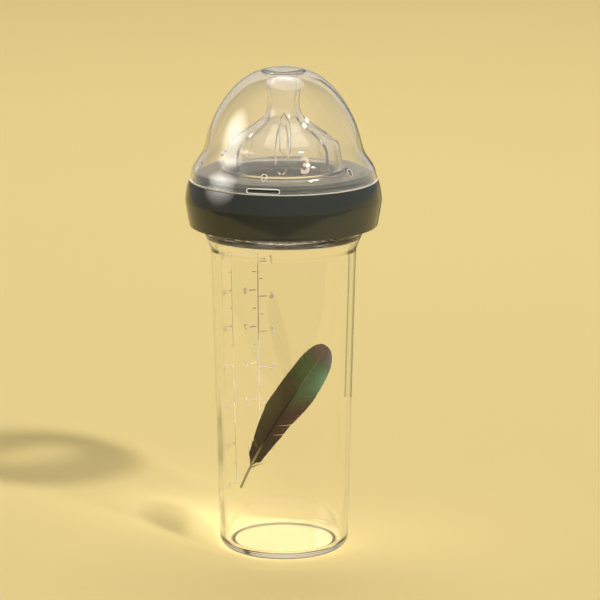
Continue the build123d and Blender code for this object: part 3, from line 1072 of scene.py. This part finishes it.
def feather_ink():
    """The print's own colours, with the fine grain of barbs."""
    n = Nodes("feather_print")
    tint = n.add("ShaderNodeAttribute", attribute_name="tint")
    grain = n.noise(900, 3, (1, 1, 0.45))
    shade = n.add("ShaderNodeMix", data_type="RGBA", blend_type="MULTIPLY")
    shade.inputs["Factor"].default_value = 1
    light = n.add("ShaderNodeCombineColor")
    level = n.spread(grain, 0.72, 1.28)
    for channel in ("Red", "Green", "Blue"):
        n.link(level, light.inputs[channel])
    n.link(tint.outputs["Color"], shade.inputs["A"])
    n.link(light.outputs["Color"], shade.inputs["B"])
    n.link(shade.outputs["Result"], n.shader.inputs["Base Color"])
    n.link(n.spread(grain, 0.35, 0.55), n.shader.inputs["Roughness"])
    n.link(n.bump(grain, 0.2, 0.02 * MM), n.shader.inputs["Normal"])
    return n.material


def make_feather():
    """The printed feather, wrapped round the front of the bottle."""
    chance = random.Random(7)
    feather = Feather()
    for side in (-1, 1):
        add_vane(feather, side, chance)
    add_loose_barbs(feather, chance)
    add_shaft(feather)
    wrap(feather.mesh, body_radius, 0, FILM)
    data = to_mesh("feather_print", feather.mesh)
    link("feather_print", data, "bottle", feather_ink())


# ---------------------------------------------------------------- size mark on the teat
SIZE_MARK_HEIGHT = 10.4 * MM
SIZE_MARK_Z = 183.2 * MM
SIZE_MARK_TURN = 21.4
SIZE_MARK_WEIGHT = 0.035  # thickens the strokes, as a share of the height
SIZE_MARK_FILM = 0.05 * MM


def frosted_silicone():
    """The roughened skin of the raised size mark."""
    n = Nodes("frosted_silicone")
    n.shader.inputs["Base Color"].default_value = (0.72, 0.62, 0.45, 1)
    grain = n.noise(2500, 2)
    n.link(n.spread(grain, 0.4, 0.6), n.shader.inputs["Roughness"])
    n.link(n.spread(grain, 0.35, 0.75), n.shader.inputs["Alpha"])
    return n.material


def dome_radius(z):
    """Outer radius of the teat's dome near its foot."""
    foot = CROWN_Z + TEAT_BEAD_HEIGHT
    return DOME_RADIUS + (DOME_SHOULDER[0] - DOME_RADIUS) * (z - foot) / (DOME_SHOULDER[1] - foot)


def make_size_mark():
    """The raised, frosted flow size on the teat's dome."""
    mesh = glyphs("3", SIZE_MARK_HEIGHT, 0, SIZE_MARK_Z, SIZE_MARK_WEIGHT)
    wrap(mesh, dome_radius, SIZE_MARK_TURN, SIZE_MARK_FILM)
    link("teat_size_mark", to_mesh("teat_size_mark", mesh), "teat", frosted_silicone())


make_scale()
make_feather()
make_size_mark()


# ---------------------------------------------------------------- stage, light and camera
# cards that the camera doesn't see straight: the plastics mirror them, and all but the
# surround also show through clear walls
SURROUND = (  # the dark room round the lit floor, as the collar mirrors it
    (-4, -0.03),
    (-0.46, -0.03),
    (-0.38, -0.17),
    (-0.23, -0.25),
    (-0.11, -0.282),
    (0, -0.273),
    (0.10, -0.293),
    (0.25, -0.273),
    (0.42, -0.19),
    (4, -0.19),
    (4, -4),
    (-4, -4),
)
SURROUND_Z = 0.002
PANEL_PLACE = (-1.0, 0.35, 0.62)
PANEL_SIZE = (1.7, 1.15)
PANEL_TURN = 90  # degrees about Z, of an upright card
PANEL_GLOW = 9
PANEL_EDGE_GLOW = 0.4
PANEL_SPOT = (0.86, 0.0, 0)
PANEL_FADE = (2.0, 2.1, 1)
DARK_SIDE_PLACE = (0.117, 0.25, 0.2)
DARK_SIDE_SIZE = (0.03, 0.4)
DARK_SIDE_TURN = -25
FLOOR_SIZE = (24, 24)

# camera: behind the front, above the floor, looking down and a little to the right
CAMERA_PLACE = (0, -1.35, 0.419)
LOOK_DOWN = 12.63
LOOK_RIGHT = 0.318
LENS = 180.4
SENSOR = 36


def floor_material():
    """Plain pale yellow paper."""
    n = Nodes("floor_paper")
    tone = n.add("ShaderNodeValToRGB")
    tone.color_ramp.elements[0].color = (0.81, 0.65, 0.28, 1)
    tone.color_ramp.elements[1].color = (0.84, 0.68, 0.31, 1)
    n.link(n.noise(1.5, 2), tone.inputs["Fac"])
    n.link(tone.outputs["Color"], n.shader.inputs["Base Color"])
    n.shader.inputs["Roughness"].default_value = 0.9
    n.shader.inputs["Specular IOR Level"].default_value = 0.1
    return n.material


def dark_card_material():
    """Matt black card."""
    n = Nodes("dark_card")
    n.shader.inputs["Base Color"].default_value = (0.03, 0.03, 0.026, 1)
    n.shader.inputs["Roughness"].default_value = 1
    return n.material


def glow_material():
    """A soft light panel, brightest in its middle."""
    n = Nodes("light_panel")
    place = n.add("ShaderNodeTexCoord")
    fade = n.add("ShaderNodeTexGradient", gradient_type="SPHERICAL")
    spot = n.add("ShaderNodeMapping")
    spot.inputs["Location"].default_value = PANEL_SPOT
    spot.inputs["Scale"].default_value = PANEL_FADE
    glow = n.add("ShaderNodeEmission")
    glow.inputs["Color"].default_value = (1, 0.96, 0.88, 1)
    n.link(place.outputs["Object"], spot.inputs["Vector"])
    n.link(spot.outputs["Vector"], fade.inputs["Vector"])
    n.link(n.spread(fade.outputs["Fac"], PANEL_EDGE_GLOW, PANEL_GLOW), glow.inputs["Strength"])
    n.link(glow.outputs["Emission"], n.output.inputs["Surface"])
    return n.material


def sheet(name, material, corners, centre, turn=(0, 0, 0)):
    """A flat stage polygon."""
    data = bpy.data.meshes.new(name)
    data.from_pydata([(x, y, 0) for x, y in corners], [], [range(len(corners))])
    data.materials.append(material)
    card = bpy.data.objects.new(name, data)
    card.location = centre
    card.rotation_euler = turn
    bpy.context.scene.collection.objects.link(card)
    return card


def plate(name, material, centre, size, turn=(0, 0, 0)):
    """A flat stage rectangle."""
    x, y = size[0] / 2, size[1] / 2
    return sheet(name, material, ((-x, -y), (x, -y), (x, y), (-x, y)), centre, turn)


def upright_turn(turn):
    """The rotation that stands a flat card up and turns it about Z, in degrees."""
    return radians(90), 0, radians(turn)


def hide(card, *rays):
    """Keeps a card out of sight of the given kinds of ray."""
    for ray in rays:
        setattr(card, "visible_" + ray, False)


def make_stage():
    """The floor, and the cards that the plastics mirror."""
    plate("floor", floor_material(), (0, 0, 0), FLOOR_SIZE)
    surround = sheet("dark_surround", dark_card_material(), SURROUND, (0, 0, SURROUND_Z))
    hide(surround, "camera", "diffuse", "transmission", "shadow")
    panel = plate("light_panel", glow_material(), PANEL_PLACE, PANEL_SIZE, upright_turn(PANEL_TURN))
    hide(panel, "camera", "diffuse", "shadow")
    side = plate(
        "dark_side", dark_card_material(), DARK_SIDE_PLACE, DARK_SIDE_SIZE, upright_turn(DARK_SIDE_TURN)
    )
    hide(side, "camera", "diffuse", "shadow")


def sun(name, azimuth, elevation, strength, spread, colour):
    """A distant lamp that shines from an azimuth and elevation, in degrees."""
    data = bpy.data.lights.new(name, "SUN")
    data.energy = strength
    data.angle = radians(spread)
    data.color = colour
    lamp = bpy.data.objects.new(name, data)
    a, e = radians(azimuth), radians(elevation)
    away = Vector((sin(a) * cos(e), -cos(a) * cos(e), sin(e)))
    lamp.rotation_euler = away.to_track_quat("Z", "Y").to_euler()
    bpy.context.scene.collection.objects.link(lamp)


def area_light(name, place, target, size, power, colour):
    """A round lamp that leaves no mirror image."""
    data = bpy.data.lights.new(name, "AREA")
    data.shape = "DISK"
    data.size = size
    data.energy = power
    data.color = colour
    lamp = bpy.data.objects.new(name, data)
    lamp.location = place
    lamp.rotation_euler = (Vector(target) - Vector(place)).to_track_quat("-Z", "Y").to_euler()
    lamp.visible_glossy = False
    bpy.context.scene.collection.objects.link(lamp)


def studio_air():
    """The studio all round: dim where it lights things, cool where it mirrors, pale where it is
    seen through clear plastic."""
    world = bpy.data.worlds.new("studio")
    world.use_nodes = True
    tree = world.node_tree
    path = tree.nodes.new("ShaderNodeLightPath")
    source = None
    for colour, ray in (
        ((0.24, 0.23, 0.20, 1), None),
        ((0.235, 0.29, 0.35, 1), "Is Glossy Ray"),
        ((0.80, 0.70, 0.52, 1), "Is Transmission Ray"),
    ):
        mix = tree.nodes.new("ShaderNodeMix")
        mix.data_type = "RGBA"
        mix.inputs["Factor"].default_value = 1
        mix.inputs["B"].default_value = colour
        if ray:
            tree.links.new(path.outputs[ray], mix.inputs["Factor"])
            tree.links.new(source, mix.inputs["A"])
        source = mix.outputs["Result"]
    tree.links.new(source, tree.nodes["Background"].inputs["Color"])
    return world


def make_light():
    """A key lamp, a soft one overhead, and the studio round them."""
    sun("key", 40, 40, 1.9, 4, (1, 0.97, 0.92))
    area_light("overhead", (0.1, 0.9, 2.4), (0, 0.6, 0), 1.8, 24, (1, 0.98, 0.95))
    bpy.context.scene.world = studio_air()
    bpy.context.scene.view_settings.view_transform = "Standard"


def make_camera():
    """The camera, in front of the bottle and looking down on it."""
    data = bpy.data.cameras.new("camera")
    data.lens = LENS
    data.sensor_width = SENSOR
    data.clip_start = 0.05
    camera = bpy.data.objects.new("camera", data)
    camera.location = CAMERA_PLACE
    camera.rotation_euler = (radians(90 - LOOK_DOWN), 0, radians(-LOOK_RIGHT))
    bpy.context.scene.collection.objects.link(camera)
    bpy.context.scene.camera = camera


make_stage()
make_light()
make_camera()
